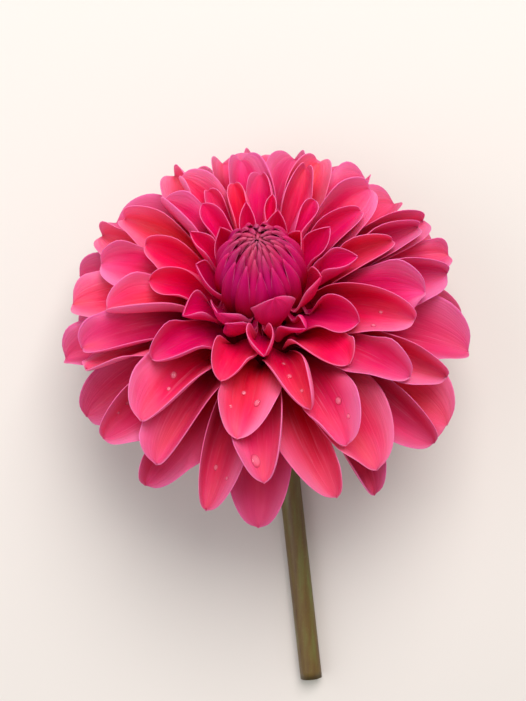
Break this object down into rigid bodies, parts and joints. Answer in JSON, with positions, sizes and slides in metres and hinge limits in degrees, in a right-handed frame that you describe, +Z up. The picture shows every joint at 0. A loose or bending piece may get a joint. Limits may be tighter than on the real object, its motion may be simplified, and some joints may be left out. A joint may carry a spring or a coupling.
{
  "type": "dahlia flower",
  "caption": "Double dahlia flower head with cupped, overlapping petals and a closed bud centre, picked on a short bent stem and lying on its rim.",
  "frame": {"origin": "on the surface the flower lies on, under the middle of its bounding box", "axes": "+Z up from the surface, +Y from the cut end of the stem towards the flower head, +X to the right seen from the cut end"},
  "size_m": [0.1079, 0.1514, 0.0732],
  "materials": {
    "petal": "satin",
    "bud_floret": "satin",
    "bract": "matte",
    "stem_skin": "satin"
  },
  "bodies": {
    "root": {"petals": "petal", "bud": "bud_floret", "calyx": "bract", "stem": "stem_skin"}
  },
  "joints": []
}
